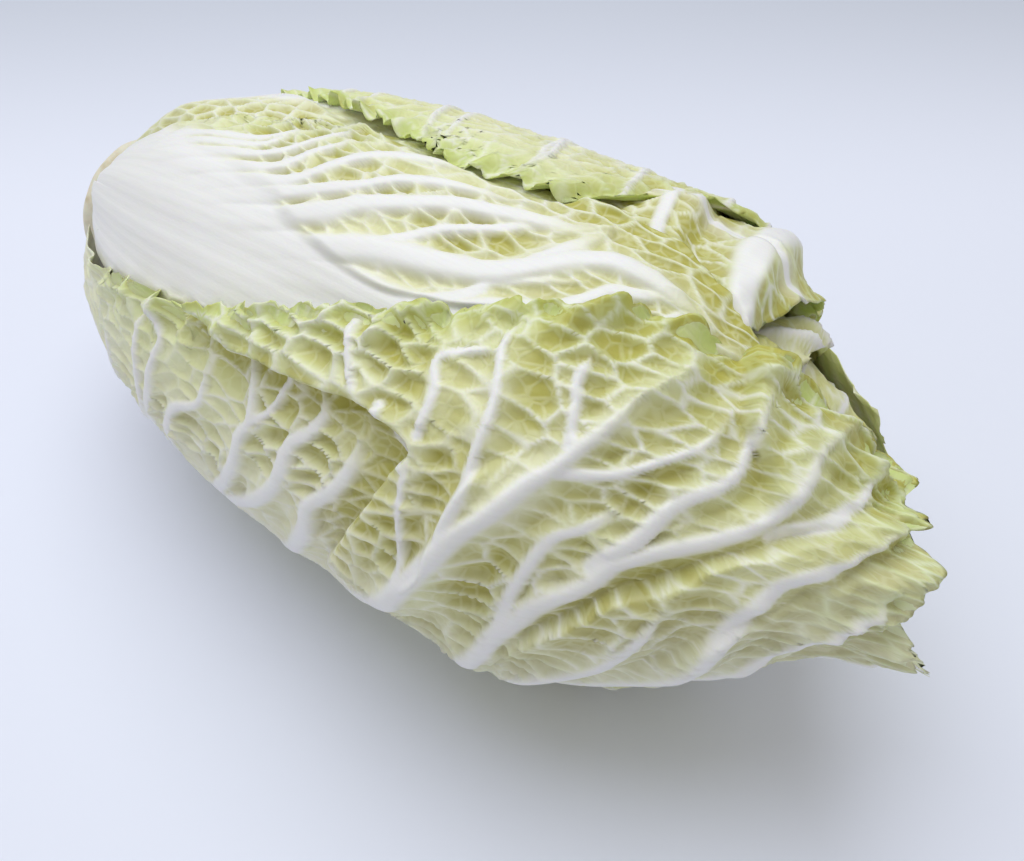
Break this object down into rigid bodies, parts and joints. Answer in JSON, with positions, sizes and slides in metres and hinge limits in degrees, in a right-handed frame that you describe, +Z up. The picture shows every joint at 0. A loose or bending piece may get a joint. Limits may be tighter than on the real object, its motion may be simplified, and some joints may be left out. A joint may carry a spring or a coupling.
{
  "type": "napa cabbage",
  "caption": "Long barrel-shaped head of napa cabbage lying on its side, with white ribs, crinkled pale green wrapper leaves and ruffled tips.",
  "frame": {"origin": "on the surface that the head lies on, level with the flat patch under its belly, below the middle of its length and width", "axes": "+X along the head from the cut stem to the leaf tips, +Z up, -Y the side where the front wrapper leaf's margin folds over"},
  "size_m": [0.2863, 0.1446, 0.1416],
  "materials": {
    "cut_stem": "dry, cut across the fibres",
    "outer_leaf": "satin, thick white ribs in a crinkled pale green blade",
    "inner_leaf": "satin, paler and yellower than the outer leaves",
    "heart": "satin, pale yellow"
  },
  "bodies": {
    "root": {"stem_core": "cut_stem", "wrapper_leaf_underside": "outer_leaf", "wrapper_leaf_front": "outer_leaf", "wrapper_leaf_back": "outer_leaf", "outer_leaf_top": "outer_leaf", "outer_leaf_top_back": "outer_leaf", "outer_leaf_low_front": "outer_leaf", "head_leaf_01": "inner_leaf", "head_leaf_02": "inner_leaf", "head_leaf_03": "inner_leaf", "head_leaf_04": "inner_leaf", "head_leaf_05": "inner_leaf", "head_leaf_06": "inner_leaf", "head_leaf_07": "inner_leaf", "head_leaf_08": "inner_leaf", "head_leaf_09": "inner_leaf", "head_leaf_10": "inner_leaf", "head_leaf_11": "inner_leaf", "head_leaf_12": "inner_leaf", "head_leaf_13": "inner_leaf", "head_leaf_14": "inner_leaf", "head_leaf_15": "inner_leaf", "head_leaf_16": "inner_leaf", "heart_bud": "heart"}
  },
  "joints": []
}
